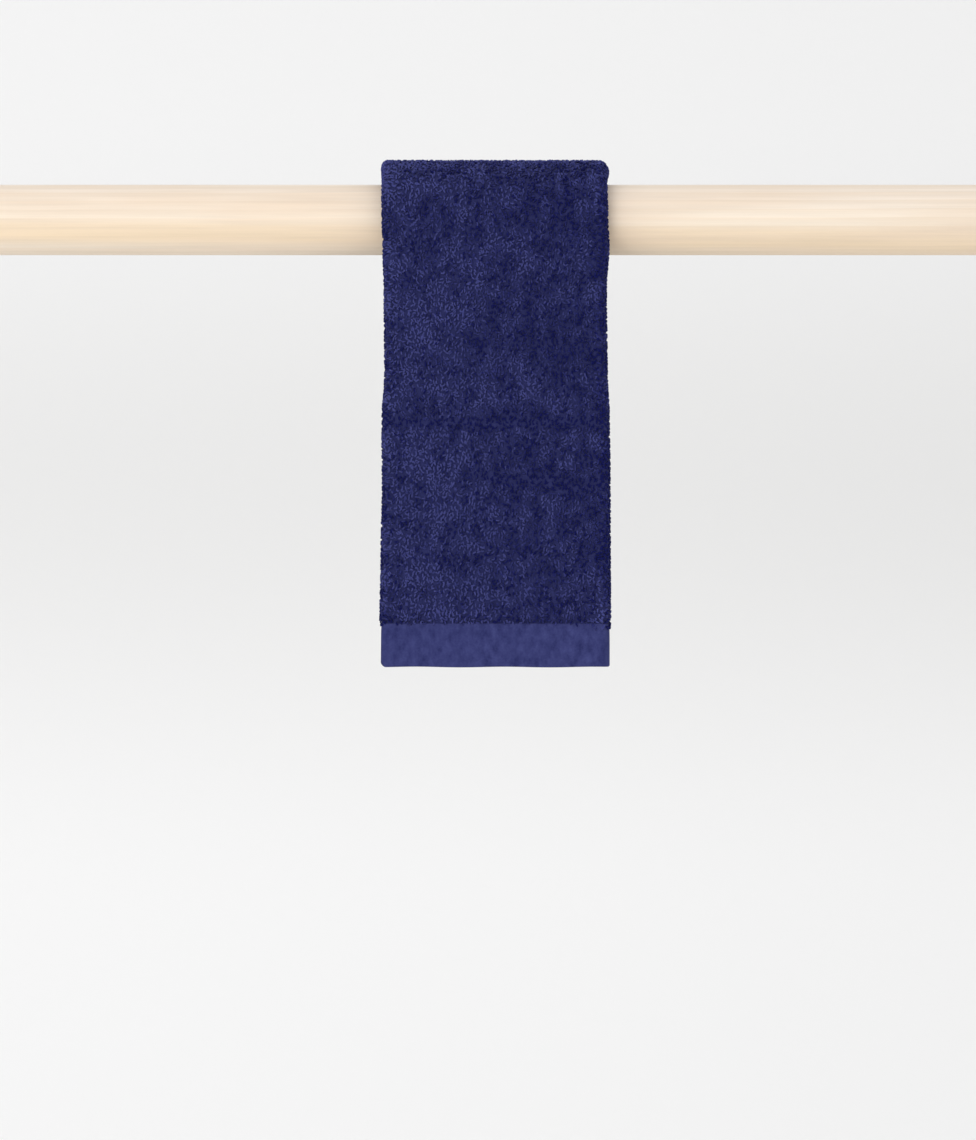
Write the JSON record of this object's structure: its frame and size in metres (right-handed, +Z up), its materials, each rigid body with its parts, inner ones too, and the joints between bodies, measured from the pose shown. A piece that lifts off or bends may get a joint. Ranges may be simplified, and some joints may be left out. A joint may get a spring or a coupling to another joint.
{
  "type": "bath hand towel draped over a round wooden rod",
  "caption": "Navy terry bath towel of hand size, folded in thirds and draped over a plain round wooden rod, with a flat-woven band along each hem.",
  "frame": {"origin": "centre of the rod's left end face", "axes": "+X along the rod to its right end, +Z up, the front of the towel faces -Y"},
  "size_m": [0.6, 0.0694, 0.2889],
  "materials": {
    "navy_terry": "matt cotton loop pile, flat weave at the hems",
    "pale_pine": "sanded pale pine, bare or with a clear matt finish"
  },
  "bodies": {
    "root": {"towel": "navy_terry", "rod": "pale_pine"}
  },
  "joints": []
}
